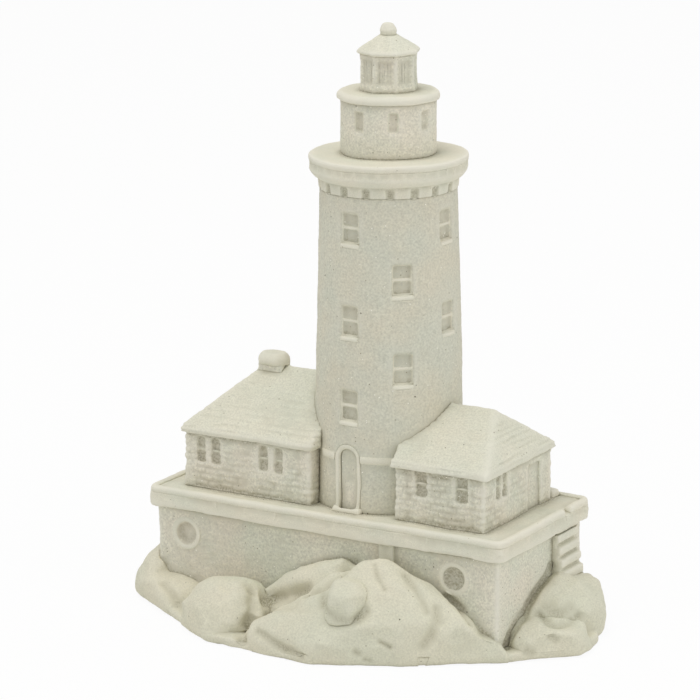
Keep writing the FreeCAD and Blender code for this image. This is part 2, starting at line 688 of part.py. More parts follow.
def houseLights(side):
    """Near and far edge, from the tower's axis, of each light in a house's front."""
    if side == "left":
        for middle in ("left_pair_two", "left_pair_one"):
            yield ("%s - left_mullion / 2 - left_light_wide" % middle,
                   "%s - left_mullion / 2" % middle)
            yield ("%s + left_mullion / 2" % middle,
                   "%s + left_mullion / 2 + left_light_wide" % middle)
    else:
        for middle in ("right_light_one", "right_light_two"):
            yield ("%s - right_light_wide / 2" % middle, "%s + right_light_wide / 2" % middle)


def sideLights():
    """Front and rear edge of each light in the right house's end wall."""
    yield ("-side_pair - side_mullion / 2 - side_light_wide", "-side_pair - side_mullion / 2")
    yield ("-side_pair + side_mullion / 2", "-side_pair + side_mullion / 2 + side_light_wide")


# Glazing bars: one level bar on the back of each recessed light.
def makeGlazingBars(side, sign):
    made = doc.addObject("Part::Feature", side + "_glazing_bars")
    made.Label = side + "_glazing_bars"
    thick, bar = value("light_thick"), value("light_bar")
    level = value("%s + light_low + house_light_tall / 2" % deckFloor) - bar / 2
    depth = value("light_depth")
    shapes = []
    for near, far in houseLights(side):
        a, b = value(near), value(far)
        x = a if sign > 0 else -b
        front = -value("house_front") + depth - thick
        rear = value("house_rear") - depth
        for y in (front, rear):
            shapes.append(Part.makeBox(b - a, thick, bar, V(x, y, level)))
    if side == "right":
        wall = value("right_outer") - depth
        for near, far in sideLights():
            a, b = value(near), value(far)
            shapes.append(Part.makeBox(thick, b - a, bar, V(wall, a, level)))
    made.Shape = Part.makeCompound(shapes)
    return made


def makeSideDoor():
    body = newBody("right_house_door")
    padded(body, "right_house_door_face", "YZ_Plane", "right_outer - side_door_depth",
           "side_door_thick",
           ("side_door_at - side_door_wide / 2", deckFloor,
            "side_door_at + side_door_wide / 2", "%s + side_door_tall" % deckFloor))
    return body


# Roofs: a pad of the stepped cross-section along the ridge, hipped by cutting the
# matching stepped profile off its outer end, then hollowed to the tower.
def makeRoof(side, sign):
    body = newBody(side + "_roof")
    inner, outer = side + "_inner", side + "_outer"
    low = "(%s + %s_walls)" % (deckFloor, side)
    band = "(%s + eave_band)" % low
    rise = "(%s + %s_ridge - %s)" % (deckFloor, side, band)
    front, rear = "-house_front - eave_out", "house_rear + eave_out"
    middle = "((house_rear - house_front) / 2)"
    half = "((house_front + house_rear) / 2 + eave_out - course_step)"
    tip = "(%s + eave_out)" % outer

    section = [(front, low), (rear, low), (rear, band)]
    hip = []
    for i in range(roofCourses):
        share = i / roofCourses
        climb = "%s + %s * %.6g" % (band, rise, share)
        above = "%s + %s * %.6g" % (band, rise, share + 1 / roofCourses)
        back = "(1 - %.6g)" % share
        section.append(("%s + %s * %s" % (middle, half, back), climb))
        if i < roofCourses - 1:
            ahead = "(1 - %.6g)" % (share + 1 / roofCourses)
            lapped = "%s + %s * %s + course_step" % (middle, half, ahead)
            section.append((lapped, above))
            inset = "(%s_hip * %.6g)" % (side, share + 1 / roofCourses)
            hip.append(("%s - course_step - (%s_hip * %.6g)" % (tip, side, share), climb))
            hip.append(("%s - %s" % (tip, inset), above))
    apex = "%s + %s" % (band, rise)
    section.append((middle, apex))
    mirror = []
    for y, z in section[3:-1]:
        mirror.append(("2 * %s - (%s)" % (middle, y), z))
    section += list(reversed(mirror))
    section.append((front, band))

    sketch = newSketch(body, side + "_roof_section", "YZ_Plane",
                       inner + " - eave_out" if sign > 0 else "-(%s)" % tip)
    addPolygon(sketch, section)
    feature(body, "Pad", sketch, "%s + eave_out - %s + eave_out" % (outer, inner))

    last = roofCourses - 1
    hip.append(("%s - course_step - (%s_hip * %.6g)" % (tip, side, last / roofCourses),
                "%s + %s * %.6g" % (band, rise, last / roofCourses)))
    cut = [("%s + 1" % tip, band), ("%s + 1" % tip, apex + " + 1"),
           ("%s - %s_hip" % (tip, side), apex + " + 1"),
           ("%s - %s_hip" % (tip, side), apex)] + list(reversed(hip))
    if sign < 0:
        cut = [("-(%s)" % x, z) for x, z in cut]
    sketch = newSketch(body, side + "_roof_hip", "XZ_Plane", "-house_rear - eave_out - 1")
    addPolygon(sketch, cut)
    feature(body, "Pocket", sketch, "house_front + house_rear + 2 * eave_out + 2", True)
    body.Tip = grooveForTower(body)
    return body


# Chimney: a stack that stands on the roof's courses, under a cap with cut corners and
# a sloping shoulder.
def makeChimneyStack(roof):
    doc.recompute()
    box = doc.addObject("Part::Box", "chimney_blank")
    low = value("%s + left_walls" % deckFloor)
    box.Length, box.Width = value("chimney_long"), value("chimney_deep")
    box.Height = value(chimneyNeck) - low
    patterns.append(box)
    centre = value("(house_rear - house_front) / 2")
    box.Placement.Base = V(-value("chimney_at + chimney_long / 2"),
                           centre - value("chimney_deep") / 2, low)
    made = doc.addObject("Part::Cut", "chimney_stack")
    made.Label = "chimney_stack"
    made.Base, made.Tool = box, roof
    return made


def makeChimneyCap():
    body = newBody("chimney_cap")
    centre = "((house_rear - house_front) / 2)"
    long, deep = "chimney_cap_long / 2", "chimney_cap_deep / 2"
    sketch = newSketch(body, "chimney_cap_plan", "XY_Plane", chimneyNeck)
    longCut = "(%s - chimney_cap_corner)" % long
    deepCut = "(%s - chimney_cap_corner)" % deep
    corners = (("+ " + long, "- " + deepCut), ("+ " + long, "+ " + deepCut),
               ("+ " + longCut, "+ " + deep), ("- " + longCut, "+ " + deep),
               ("- " + long, "+ " + deepCut), ("- " + long, "- " + deepCut),
               ("- " + longCut, "- " + deep), ("+ " + longCut, "- " + deep))
    addPolygon(sketch, [("-chimney_at " + x, centre + " " + y) for x, y in corners])
    pad = feature(body, "Pad", sketch, "chimney_cap_high")
    top = value(chimneyNeck + " + chimney_cap_high")
    bevelled(body, pad, "chimney_cap_bevel", lambda edge: liesAt(edge, top))
    return body


# Corbels: a ring of flat-faced blocks that lean out to the gallery, with a gap cut at
# each corner between two of them.
def makeCorbels():
    body = newBody("gallery_corbels")
    half = 180 / corbelCount
    sketch = newSketch(body, "corbel_plan", "XY_Plane", towerTop)
    addPolygon(sketch, regularCorners("%s / cos(%g)" % (corbelHead, half), corbelCount))
    feature(body, "Pad", sketch, "corbel_high")
    sketch = newSketch(body, "corbel_flank", "XZ_Plane", "-" + corbelHead)
    outside = corbelHead + " + 1"
    addPolygon(sketch, [(corbelFoot, towerTop), (outside, towerTop), (outside, corbelTop),
                        (corbelHead, corbelTop)])
    lean = feature(body, "Pocket", sketch, corbelHead + " * 2", True)
    aroundZ(body, [lean], corbelCount)
    sketch = newSketch(body, "corbel_gap", "XZ_Plane", corbelFoot + " - corbel_gap_depth")
    addRectangle(sketch, "-corbel_gap / 2", "%s - 1" % towerTop, "corbel_gap / 2",
                 "%s - corbel_gap_head" % corbelTop)
    cut = feature(body, "Pocket", sketch, corbelHead, True)
    aroundZ(body, [cut], corbelCount)
    body.setExpression("Placement.Rotation.Angle", bound("corbel_turn"))
    return body


# Gallery: a round band, and above it a strip of flat panels that lies back from it.
def makeGallerySlab():
    body = newBody("gallery_slab")
    sketch = newSketch(body, "gallery_band_plan", "XY_Plane", corbelTop)
    addCircle(sketch, "0", "0", galleryRadius)
    feature(body, "Pad", sketch, "gallery_band")
    sketch = newSketch(body, "gallery_strip_plan", "XY_Plane", galleryBandTop)
    addPolygon(sketch, regularCorners(galleryRadius + " - gallery_recess", railPostCount))
    feature(body, "Pad", sketch, "gallery_strip")
    return body


# Rail posts: a small block on each panel of the strip, between band and lip.
def makeRailPosts():
    body = newBody("rail_post_pattern")
    padded(body, "rail_post_plan", "XZ_Plane", "0", "gallery_recess * 0.75",
           ("-rail_post_wide / 2", "0", "rail_post_wide / 2", "gallery_strip"))
    doc.recompute()
    patterns.append(body)
    pitch = 360 / railPostCount
    seat = value("(%s - gallery_recess) * cos(%g)" % (galleryRadius, pitch / 2))
    low = value(galleryBandTop)
    return group("rail_posts", [copyOf(body, turned((i + 0.5) * pitch, 0, -seat, low))
                                for i in range(railPostCount)])


def makeGalleryLip():
    return revolved("gallery_lip", [
        ("0", galleryStripTop), (galleryRadius, galleryStripTop), (galleryRadius, galleryTop),
        ("0", galleryTop)])


# Watch room: a drum with eight small windows.
def makeWatchRoom():
    body = revolved("watch_room", [
        ("0", galleryTop), ("watch_radius", galleryTop), ("watch_radius", watchTop),
        ("0", watchTop)])
    low = "%s + watch_window_low" % galleryTop
    cut = pocketed(body, "watch_seat", "XZ_Plane", "watch_radius - watch_window_depth",
                   "watch_window_depth * 3",
                   ("-watch_window_wide / 2", low, "watch_window_wide / 2",
                    low + " + watch_window_tall"))
    aroundZ(body, [cut], watchWindows)
    body.setExpression("Placement.Rotation.Angle", bound("watch_turn"))
    return body


def makeWatchSashes():
    body = newBody("watch_sash_pattern")
    sketch = newSketch(body, "watch_sash_face", "XZ_Plane")
    addRectangle(sketch, "-watch_window_wide / 2", "0", "watch_window_wide / 2",
                 "watch_window_tall")
    addRectangle(sketch, "-watch_window_wide / 2 + watch_sash_frame", "watch_sash_frame",
                 "watch_window_wide / 2 - watch_sash_frame",
                 "watch_window_tall - watch_sash_frame")
    feature(body, "Pad", sketch, "watch_sash_thick")
    doc.recompute()
    patterns.append(body)
    seat = value("watch_radius - watch_window_depth")
    low = value("%s + watch_window_low" % galleryTop)
    turn = value("watch_turn")
    return group("watch_sashes", [copyOf(body, turned(turn + i * 360 / watchWindows,
                                                      0, -seat, low))
                                  for i in range(watchWindows)])


def makeLanternGallery():
    return revolved("lantern_gallery", [
        ("0", watchTop), ("lantern_gallery_radius", watchTop),
        ("lantern_gallery_radius", "%s - lantern_gallery_bevel" % lanternFloor),
        ("lantern_gallery_radius - lantern_gallery_bevel", lanternFloor),
        ("0", lanternFloor)])


# Lantern room: an octagon with a sunk pane in each side.
def makeLanternRoom():
    body = newBody("lantern_room")
    sketch = newSketch(body, "lantern_plan", "XY_Plane", lanternFloor)
    addPolygon(sketch, regularCorners("lantern_radius", lanternSides))
    feature(body, "Pad", sketch, "lantern_tall")
    seat = paneSeat()
    half = 180 / lanternSides
    sketch = newSketch(body, "pane_recess", "XZ_Plane")
    turn = FreeCAD.Rotation(V(0, 1, 0), half)
    sketch.AttachmentOffset = FreeCAD.Placement(V(0, 0, 0), turn)
    sketch.setExpression("AttachmentOffset.Base.x", bound("%s * sin(%g)" % (seat, half)))
    sketch.setExpression("AttachmentOffset.Base.z", bound("%s * cos(%g)" % (seat, half)))
    low = "%s + pane_low" % lanternFloor
    addRectangle(sketch, "-pane_wide / 2", low, "pane_wide / 2", low + " + pane_tall")
    cut = feature(body, "Pocket", sketch, "pane_depth * 2", True)
    aroundZ(body, [cut], lanternSides)
    return body


def paneSeat():
    """How far from the axis the back of a sunk pane lies."""
    return "(lantern_radius * cos(%g) - pane_depth)" % (180 / lanternSides)


def makeLanternPanes():
    body = newBody("lantern_pane_pattern")
    padded(body, "lantern_pane_face", "XZ_Plane", "0", "pane_thick",
           ("-pane_wide / 2", "0", "pane_wide / 2", "pane_tall"))
    doc.recompute()
    patterns.append(body)
    low = value("%s + pane_low" % lanternFloor)
    seat = value(paneSeat())
    return group("lantern_panes", [
        copyOf(body, turned(360 / lanternSides * (i + 0.5), 0, -seat, low))
        for i in range(lanternSides)])


# Lantern roof: an octagonal block whose eight flanks are cut back to a blunt cone.
def makeLanternRoof():
    body = newBody("lantern_roof")
    half = 180 / lanternSides
    sketch = newSketch(body, "lantern_roof_plan", "XY_Plane", lanternTop)
    addPolygon(sketch, regularCorners("lantern_eave_radius", lanternSides))
    feature(body, "Pad", sketch, "lantern_eave + cone_high")
    sketch = newSketch(body, "lantern_flank", "XZ_Plane")
    turn = FreeCAD.Rotation(V(0, 1, 0), half)
    sketch.AttachmentOffset = FreeCAD.Placement(V(0, 0, 0), turn)
    for axis, share in (("x", "sin"), ("z", "cos")):
        sketch.setExpression("AttachmentOffset.Base." + axis,
                             bound("-lantern_eave_radius * %s(%g)" % (share, half)))
    eave = "lantern_eave_radius * cos(%g)" % half
    head = "cone_top_radius * cos(%g)" % half
    addPolygon(sketch, [(eave, coneBase), (eave + " + 1", coneBase), (eave + " + 1", coneTop),
                        (head, coneTop)])
    cut = feature(body, "Pocket", sketch, "lantern_eave_radius * 2", True)
    aroundZ(body, [cut], lanternSides)
    return body


# Finial: a squat ball turned on the roof's flat head.
def makeFinial():
    body = newBody("finial")
    profile = [("0", coneTop)]
    for share, rise in ((0.8, 0), (1, 0.42), (0.58, 1)):
        profile.append(("finial_radius * %g" % share, "%s + finial_high * %g" % (coneTop, rise)))
    profile.append(("0", "%s + finial_high" % coneTop))
    sketch = newSketch(body, "finial_profile", "XZ_Plane")
    addPolygon(sketch, profile)
    feature(body, "Revolution", sketch)
    return body


# Stair: a flight of blunt treads up the pier's right side, one outline padded across.
def makeStair():
    body = newBody("stair_flight")
    outline = [("pier_right", "stair_top"), ("pier_right + stair_out", "stair_top")]
    for i in range(stairTreads):
        out = "pier_right + stair_out + stair_spread * %d" % i
        top = "stair_top - stair_pitch * %d" % i
        if i:
            outline.append((out, top))
        outline.append((out, top + " - tread_high"))
        outline.append(("pier_right + stair_out * 0.5 + stair_spread * %d" % i,
                        top + " - tread_high"))
        if i < stairTreads - 1:
            outline.append(("pier_right + stair_out * 0.5 + stair_spread * %d" % i,
                            "stair_top - stair_pitch * %d" % (i + 1)))
    last = "stair_top - stair_pitch * %d - tread_high" % (stairTreads - 1)
    outline.append(("pier_right", last))
    sketch = newSketch(body, "stair_section", "XZ_Plane", "-stair_rear")
    addPolygon(sketch, outline)
    feature(body, "Pad", sketch, "stair_rear - stair_front")
    return body


# Low block on the deck behind the right house.
def makeRearBlock():
    body = newBody("rear_deck_block")
    padded(body, "rear_block_plan", "XY_Plane", deckFloor, "rear_block_high",
           ("right_outer - rear_block_wide", "coping_rear - lip_wide - rear_block_deep + 1",
            "right_outer", "coping_rear - lip_wide"))
    return body


# Boulders: faceted domes of rings of points, undercut at the foot and lumpy in plan.
def boulderSolid(name, phase):
    size = {key: value(name + "_" + key) for key in boulderSizes}
    low = size["foot"]
    tall = size["top"] - low
    crown = size["crown"]
    turn = math.radians(size["turn"])
    rings = []
    for share in boulderRings:
        spread = (1 - share ** crown) ** (1 / crown) if share else 1 - boulderUndercut
        ring = []
        for i in range(boulderSides):
            angle = 2 * math.pi * (i + 0.5 * (boulderRings.index(share) % 2)) / boulderSides
            lump = 1 + boulderLump * math.sin(3 * angle + phase + 2 * share)
            lump += boulderLump * 0.7 * math.sin(5 * angle + 2.3 * phase)
            x = size["long"] * spread * lump * math.cos(angle)
            y = size["deep"] * spread * lump * math.sin(angle)
            z = low + tall * share + size["rise"] * x * share
            east = x * math.cos(turn) - y * math.sin(turn) + size["lean"] * share
            north = x * math.sin(turn) + y * math.cos(turn) + size["set_back"] * share
            ring.append(V(size["x"] + east, size["y"] + north, z))
        rings.append(ring)
    top = V(size["x"] + size["lean"], size["y"] + size["set_back"], size["top"])
    faces = [Part.Face(Part.makePolygon(rings[0] + rings[0][:1]))]
    for number, (lower, upper) in enumerate(zip(rings, rings[1:])):
        for i in range(boulderSides):
            j = (i + 1) % boulderSides
            if number % 2:
                corners = ((lower[i], lower[j], upper[j]), (lower[i], upper[j], upper[i]))
            else:
                corners = ((lower[i], lower[j], upper[i]), (lower[j], upper[j], upper[i]))
            for three in corners:
                faces.append(Part.Face(Part.makePolygon(list(three) + [three[0]])))
    for i in range(boulderSides):
        three = (rings[-1][i], rings[-1][(i + 1) % boulderSides], top)
        faces.append(Part.Face(Part.makePolygon(list(three) + [three[0]])))
    solid = Part.Solid(Part.Shell(faces))
    if solid.Volume < 0:
        solid.reverse()
    return solid


def makeBoulders(neighbours):
    """Each boulder is cut to what it lies against, so that the two meet face to face."""
    made = []
    placed = [piece.Shape for piece in neighbours]
    for number, name in enumerate(boulders):
        solid = boulderSolid(name, 1.7 * number)
        for other in placed:
            if solid.BoundBox.intersect(other.BoundBox):
                rest = solid.cut(other)
                solid = max(rest.Solids, key=lambda piece: piece.Volume)
        stone = doc.addObject("Part::Feature", name)
        stone.Label = name
        stone.Shape = solid
        placed.append(solid)
        made.append(stone)
    return made


parts.append(makeRockBase())
pier = makePierWall()
parts.append(pier)
parts.append(makePortholeRings())
block = makeWallBlock()
parts.append(block)
parts.append(makeDeckSlab())
parts.append(makeCopingLip())
parts.append(makeCopingPosts())
parts.append(makeTowerShaft())
parts.append(makeTowerSashes())
parts.append(makeTowerSills())
parts.append(makeDoorFrame())
parts.append(makeDoorLeaf())
parts.append(makeDoorStep())
for side, sign in (("left", -1), ("right", 1)):
    parts.append(makeBayEave(side, sign))
    parts.append(makeHouseWalls(side, sign))
    parts.append(makeGlazingBars(side, sign))
    roof = makeRoof(side, sign)
    parts.append(roof)
    if side == "left":
        parts.append(makeChimneyStack(roof))
        parts.append(makeChimneyCap())
parts.append(makeSideDoor())
parts.append(makeRearBlock())
parts.append(makeCorbels())
parts.append(makeGallerySlab())
parts.append(makeRailPosts())
parts.append(makeGalleryLip())
parts.append(makeWatchRoom())
parts.append(makeWatchSashes())
parts.append(makeLanternGallery())
parts.append(makeLanternRoom())
parts.append(makeLanternPanes())
parts.append(makeLanternRoof())
parts.append(makeFinial())
stair = makeStair()
parts.append(stair)
doc.recompute()
parts += makeBoulders([pier, block, stair])
doc.recompute()

faults = []
for item in doc.Objects:
    if "Invalid" in item.State or "Error" in item.State:
        faults.append("%s: %s" % (item.Label, item.State))
for piece in parts:
    if piece.Shape.isNull() or not piece.Shape.isValid():
        faults.append("%s: no valid shape" % piece.Label)
if faults:
    raise RuntimeError("; ".join(faults))

os.makedirs("parts", exist_ok=True)
for piece in parts:
    piece.Shape.exportStep(os.path.join("parts", piece.Label + ".step"))
    print("%-22s %3d solids %9.1f mm3" % (piece.Label, len(piece.Shape.Solids),
                                         piece.Shape.Volume))
print(len(parts), "sub-parts")
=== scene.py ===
import json
import math

import bpy
import numpy as np
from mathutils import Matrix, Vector
from mathutils.bvhtree import BVHTree


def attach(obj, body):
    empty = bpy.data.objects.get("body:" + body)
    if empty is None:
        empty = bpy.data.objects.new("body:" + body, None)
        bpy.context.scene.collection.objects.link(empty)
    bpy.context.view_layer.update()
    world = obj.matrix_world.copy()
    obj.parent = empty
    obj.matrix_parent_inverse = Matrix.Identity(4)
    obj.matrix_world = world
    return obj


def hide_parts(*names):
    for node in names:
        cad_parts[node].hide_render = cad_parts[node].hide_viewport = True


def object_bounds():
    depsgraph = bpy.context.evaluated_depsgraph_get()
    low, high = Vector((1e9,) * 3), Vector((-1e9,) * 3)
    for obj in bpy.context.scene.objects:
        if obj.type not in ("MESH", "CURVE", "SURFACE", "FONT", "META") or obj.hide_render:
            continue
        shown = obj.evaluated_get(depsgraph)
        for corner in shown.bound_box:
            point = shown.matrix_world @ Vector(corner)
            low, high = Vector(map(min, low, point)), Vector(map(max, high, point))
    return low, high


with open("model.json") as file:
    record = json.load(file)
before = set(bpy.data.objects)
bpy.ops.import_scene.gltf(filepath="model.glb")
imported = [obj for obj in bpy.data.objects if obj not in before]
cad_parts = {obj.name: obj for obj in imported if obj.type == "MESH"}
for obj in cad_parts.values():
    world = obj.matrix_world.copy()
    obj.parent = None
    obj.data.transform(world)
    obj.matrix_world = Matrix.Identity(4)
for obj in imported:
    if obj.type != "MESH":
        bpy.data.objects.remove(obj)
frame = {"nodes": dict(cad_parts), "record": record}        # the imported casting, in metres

cadLow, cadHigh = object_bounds()
mm = 0.001
coarse = 1        # trial renders are cut into larger faces
picture = 700                            # the photograph's side in pixels


# Camera at the photograph's place, with no shift
view = {"at": (0.47771, -0.81800, 0.31102), "turn": (75.985, 0.314, 30.855), "lens": 183.42,
        "sensor": 36, "clip": (0.05, 20)}
lens = bpy.data.cameras.new("camera")
lens.lens = view["lens"]
lens.sensor_width = view["sensor"]
lens.clip_start, lens.clip_end = view["clip"]
camera = bpy.data.objects.new("camera", lens)
camera.location = view["at"]
camera.rotation_euler = [math.radians(angle) for angle in view["turn"]]
bpy.context.scene.collection.objects.link(camera)
bpy.context.scene.camera = camera


# Materials: one light sand and resin mix, cast in a rubber mould. What is raised has been
# rubbed smooth and pale; the grains show, darker and browner, where a hollow kept them, and the
# hollows also carry painted shade.

def linear(code):
    parts = [int(code[i:i + 2], 16) / 255 for i in (1, 3, 5)]
    return [part / 12.92 if part <= 0.04045 else ((part + 0.055) / 1.055) ** 2.4
            for part in parts] + [1]


def add(tree, kind, settings=(), links=()):
    made = tree.nodes.new(kind)
    for key, setting in dict(settings).items():
        if isinstance(key, int) or key in made.inputs:
            made.inputs[key].default_value = setting
        else:
            setattr(made, key, setting)
    for key, source in dict(links).items():
        tree.links.new(source, made.inputs[key])
    return made


# What all the finishes share: how far the rubbing pales a crown, how much thicker the
# specks lie in a hollow's grit and painted shade, the height of the grains in mm, and a dull
# mineral surface
mix = {"rubbed": 0.6, "moreSpecks": 0.25, "grainHeight": 0.15, "ior": 1.5, "specular": 0.3}


def castStone(name, look):
    material = bpy.data.materials.new(name)
    material.use_nodes = True
    tree = material.node_tree
    tree.nodes.clear()
    place = add(tree, "ShaderNodeTexCoord").outputs["Object"]
    grain = add(tree, "ShaderNodeTexNoise",
                {"Scale": 1 / (look["grain"] * mm), "Detail": 2, "Roughness": 0.6},
                {"Vector": place}).outputs["Fac"]
    patch = add(tree, "ShaderNodeTexNoise",
                {"Scale": 1 / (look["patch"] * mm), "Detail": 3, "Roughness": 0.5},
                {"Vector": place}).outputs["Fac"]
    # Hollows of the whole casting, in mm below its softened form; crowns are below zero
    form = add(tree, "ShaderNodeAttribute", {"attribute_name": "hollow"}).outputs["Fac"]
    kept = add(tree, "ShaderNodeMapRange", {"From Max": look["hollow"]}, {"Value": form})
    worn = add(tree, "ShaderNodeMapRange", {"From Max": -look["hollow"]}, {"Value": form})
    gritShade = add(tree, "ShaderNodeMapRange", {"From Min": 0.4, "From Max": 0.6, "To Min": 0.2},
               {"Value": grain})
    # Painted shade in the hollows, mixed with the grit that stays there
    gritAndShade = add(tree, "ShaderNodeMath", {"operation": "MULTIPLY", "use_clamp": True},
               {0: kept.outputs[0], 1: gritShade.outputs[0]}).outputs[0]

    # Colour: cream, with a warmer and a greener patch here and there
    tint = add(tree, "ShaderNodeMapRange", {"From Min": 0.35, "From Max": 0.65},
               {"Value": patch})
    colour = add(tree, "ShaderNodeMix",
                 {"data_type": "RGBA", 6: linear(look["warm"]), 7: linear(look["cool"])},
                 {0: tint.outputs[0]}).outputs[2]
    # Paler where it was rubbed; darker and browner in the hollows, for the grit kept there and
    # for painted shade
    rubbed = add(tree, "ShaderNodeMath",
                 {"operation": "MULTIPLY", "use_clamp": True, 1: mix["rubbed"]},
                 {0: worn.outputs[0]})
    colour = add(tree, "ShaderNodeMix", {"data_type": "RGBA", 7: linear(look["worn"])},
                 {0: rubbed.outputs[0], 6: colour}).outputs[2]
    gritShadeMix = add(tree, "ShaderNodeMath",
                 {"operation": "MULTIPLY", "use_clamp": True, 1: look["gritAndShade"]}, {0: gritAndShade})
    colour = add(tree, "ShaderNodeMix", {"data_type": "RGBA", 7: linear(look["kept"])},
                 {0: gritShadeMix.outputs[0], 6: colour}).outputs[2]
    # Light and dark grains, fewer of them where it was rubbed
    grainy = add(tree, "ShaderNodeMapRange",
                 {"From Min": 0.3, "From Max": 0.7,
                  "To Min": -look["contrast"], "To Max": look["contrast"]}, {"Value": grain})
    left = add(tree, "ShaderNodeMath", {"operation": "SUBTRACT", 0: 1.0},
               {1: worn.outputs[0]})
    grainy = add(tree, "ShaderNodeMath", {"operation": "MULTIPLY"},
                 {0: grainy.outputs[0], 1: left.outputs[0]})
    bright = add(tree, "ShaderNodeMath", {"operation": "ADD", 0: 1.0},
                 {1: grainy.outputs[0]})
    colour = add(tree, "ShaderNodeVectorMath", {"operation": "SCALE"},
                 {0: colour, "Scale": bright.outputs[0]}).outputs[0]

    # Specks 0.3 to 0.4 mm across, dark, brown or pale, and more of them in the hollows, where the
    # grit and painted shade lie; the palest are white grains and also painted glints
    for cell, share, radius, tone in look["specks"]:
        dots = add(tree, "ShaderNodeTexVoronoi", {"Scale": 1 / (cell * mm)},
                   {"Vector": place})
        chance = add(tree, "ShaderNodeSeparateColor", {}, {"Color": dots.outputs["Color"]})
        more = add(tree, "ShaderNodeMath", {"operation": "MULTIPLY", 1: mix["moreSpecks"]},
                   {0: gritAndShade})
        limit = add(tree, "ShaderNodeMath", {"operation": "SUBTRACT", 0: 1 - share},
                    {1: more.outputs[0]})
        few = add(tree, "ShaderNodeMath", {"operation": "GREATER_THAN"},
                  {0: chance.outputs[0], 1: limit.outputs[0]})
        near = add(tree, "ShaderNodeMath", {"operation": "LESS_THAN", 1: radius / cell},
                   {0: dots.outputs["Distance"]})
        speck = add(tree, "ShaderNodeMath", {"operation": "MULTIPLY"},
                    {0: few.outputs[0], 1: near.outputs[0]})
        colour = add(tree, "ShaderNodeMix", {"data_type": "RGBA", 7: linear(tone)},
                     {0: speck.outputs[0], 6: colour}).outputs[2]

    bump = add(tree, "ShaderNodeBump",
               {"Strength": look["bump"], "Distance": mix["grainHeight"] * mm},
               {"Height": grain})
    shader = add(tree, "ShaderNodeBsdfPrincipled",
                 {"Roughness": look["roughness"], "IOR": mix["ior"],
                  "Specular IOR Level": mix["specular"]},
                 {"Base Color": colour, "Normal": bump.outputs[0]})
    add(tree, "ShaderNodeOutputMaterial", {}, {"Surface": shader.outputs[0]})
    return material


# Grain and patch are sizes in mm, hollow the depth in mm that takes all its grit and painted
# shade. Each kind of speck has the size in mm of its cells, the share of them that hold one, its
# radius in mm and its colour.
castLooks = {
    # Sides of the tower and houses: matte, evenly granular like fine sandpaper
    "cast_wall": {"grain": 0.6, "patch": 14, "hollow": 0.34, "contrast": 0.17,
                  "warm": "#e2dccb", "cool": "#dadac9", "worn": "#ebe8da",
                  "kept": "#8e8870", "gritAndShade": 0.75, "bump": 0.8, "roughness": 0.9,
                  # The palest specks of the walls are white grains and also painted glints
                  "specks": ((2.6, 0.05, 0.20, "#5d5643"), (1.3, 0.10, 0.18, "#a39c86"),
                             (1.1, 0.08, 0.16, "#f8f6ec"))},
    # Copings, frames and bands: smoother and a little paler, for the mould wore here
    "cast_trim": {"grain": 0.3, "patch": 12, "hollow": 0.34, "contrast": 0.09,
                  "warm": "#e2ddca", "cool": "#dad9c7", "worn": "#ece8da",
                  "kept": "#948e76", "gritAndShade": 0.75, "bump": 0.35, "roughness": 0.85,
                  "specks": ((3.4, 0.05, 0.20, "#5d5643"), (1.6, 0.06, 0.16, "#b4ad98"))},
    # Roofs: coarse grain, with faint courses
    "cast_roof": {"grain": 0.5, "patch": 16, "hollow": 0.34, "contrast": 0.12,
                  "warm": "#e0dcc9", "cool": "#dadac8", "worn": "#ebe8da",
                  "kept": "#8c866e", "gritAndShade": 0.75, "bump": 0.8, "roughness": 0.9,
                  "specks": ((2.4, 0.06, 0.20, "#5d5643"), (1.2, 0.10, 0.18, "#a39c86"))},
    # Rocks: smooth and worn on the crowns, gritty in the clefts between them, with painted shade
    # there
    "cast_rock": {"grain": 0.5, "patch": 18, "hollow": 0.8, "contrast": 0.1,
                  "warm": "#dcd7c2", "cool": "#d5d4c0", "worn": "#e8e4d3",
                  "kept": "#8a846a", "gritAndShade": 0.8, "bump": 0.5, "roughness": 0.88,
                  "specks": ((3.0, 0.06, 0.20, "#55503e"), (1.4, 0.08, 0.18, "#a39c86"))}}
# Painted shade: the tower's shaft takes a darker, greyer copy of the wall finish, as the lamps
# light it more than the walls round it
castLooks["cast_tower_shaded"] = dict(castLooks["cast_wall"], warm="#d7d2bf", cool="#d1d1c1",
                               worn="#e0ded0", contrast=0.13)
stone = {slot: castStone("sand_resin_" + slot, look) for slot, look in castLooks.items()}
slotOf = {entry["node"]: entry["material_slot"] for entry in frame["record"]["subparts"]}
lookOf = {"tower_shaft": "cast_tower_shaded", "deck_slab": "cast_trim"}    # the others as their slot
print("materials ready")


# Working on a piece

def selectOnly(piece):
    if bpy.context.object and bpy.context.object.mode != "OBJECT":
        bpy.ops.object.mode_set(mode="OBJECT")
    bpy.ops.object.select_all(action="DESELECT")
    piece.select_set(True)
    bpy.context.view_layer.objects.active = piece


def modified(piece, kind, **settings):
    modifier = piece.modifiers.new(kind.lower(), kind)
    for key, setting in settings.items():
        setattr(modifier, key, setting)
    selectOnly(piece)
    bpy.ops.object.modifier_apply(modifier=modifier.name)


def remeshed(piece, grid):
    modified(piece, "REMESH", mode="VOXEL", voxel_size=grid * coarse * mm)


def smoothed(piece, passes, group=""):
    modified(piece, "SMOOTH", factor=0.5, iterations=passes, vertex_group=group)


def copied(node):
    # A copy of the CAD node, its loose triangles merged
    piece = bpy.data.objects.new(node + "_raw", frame["nodes"][node].data.copy())
    bpy.context.scene.collection.objects.link(piece)
    selectOnly(piece)
    bpy.ops.object.mode_set(mode="EDIT")
    bpy.ops.mesh.select_all(action="SELECT")
    bpy.ops.mesh.remove_doubles(threshold=0.001 * mm)
    bpy.ops.object.mode_set(mode="OBJECT")
    return piece


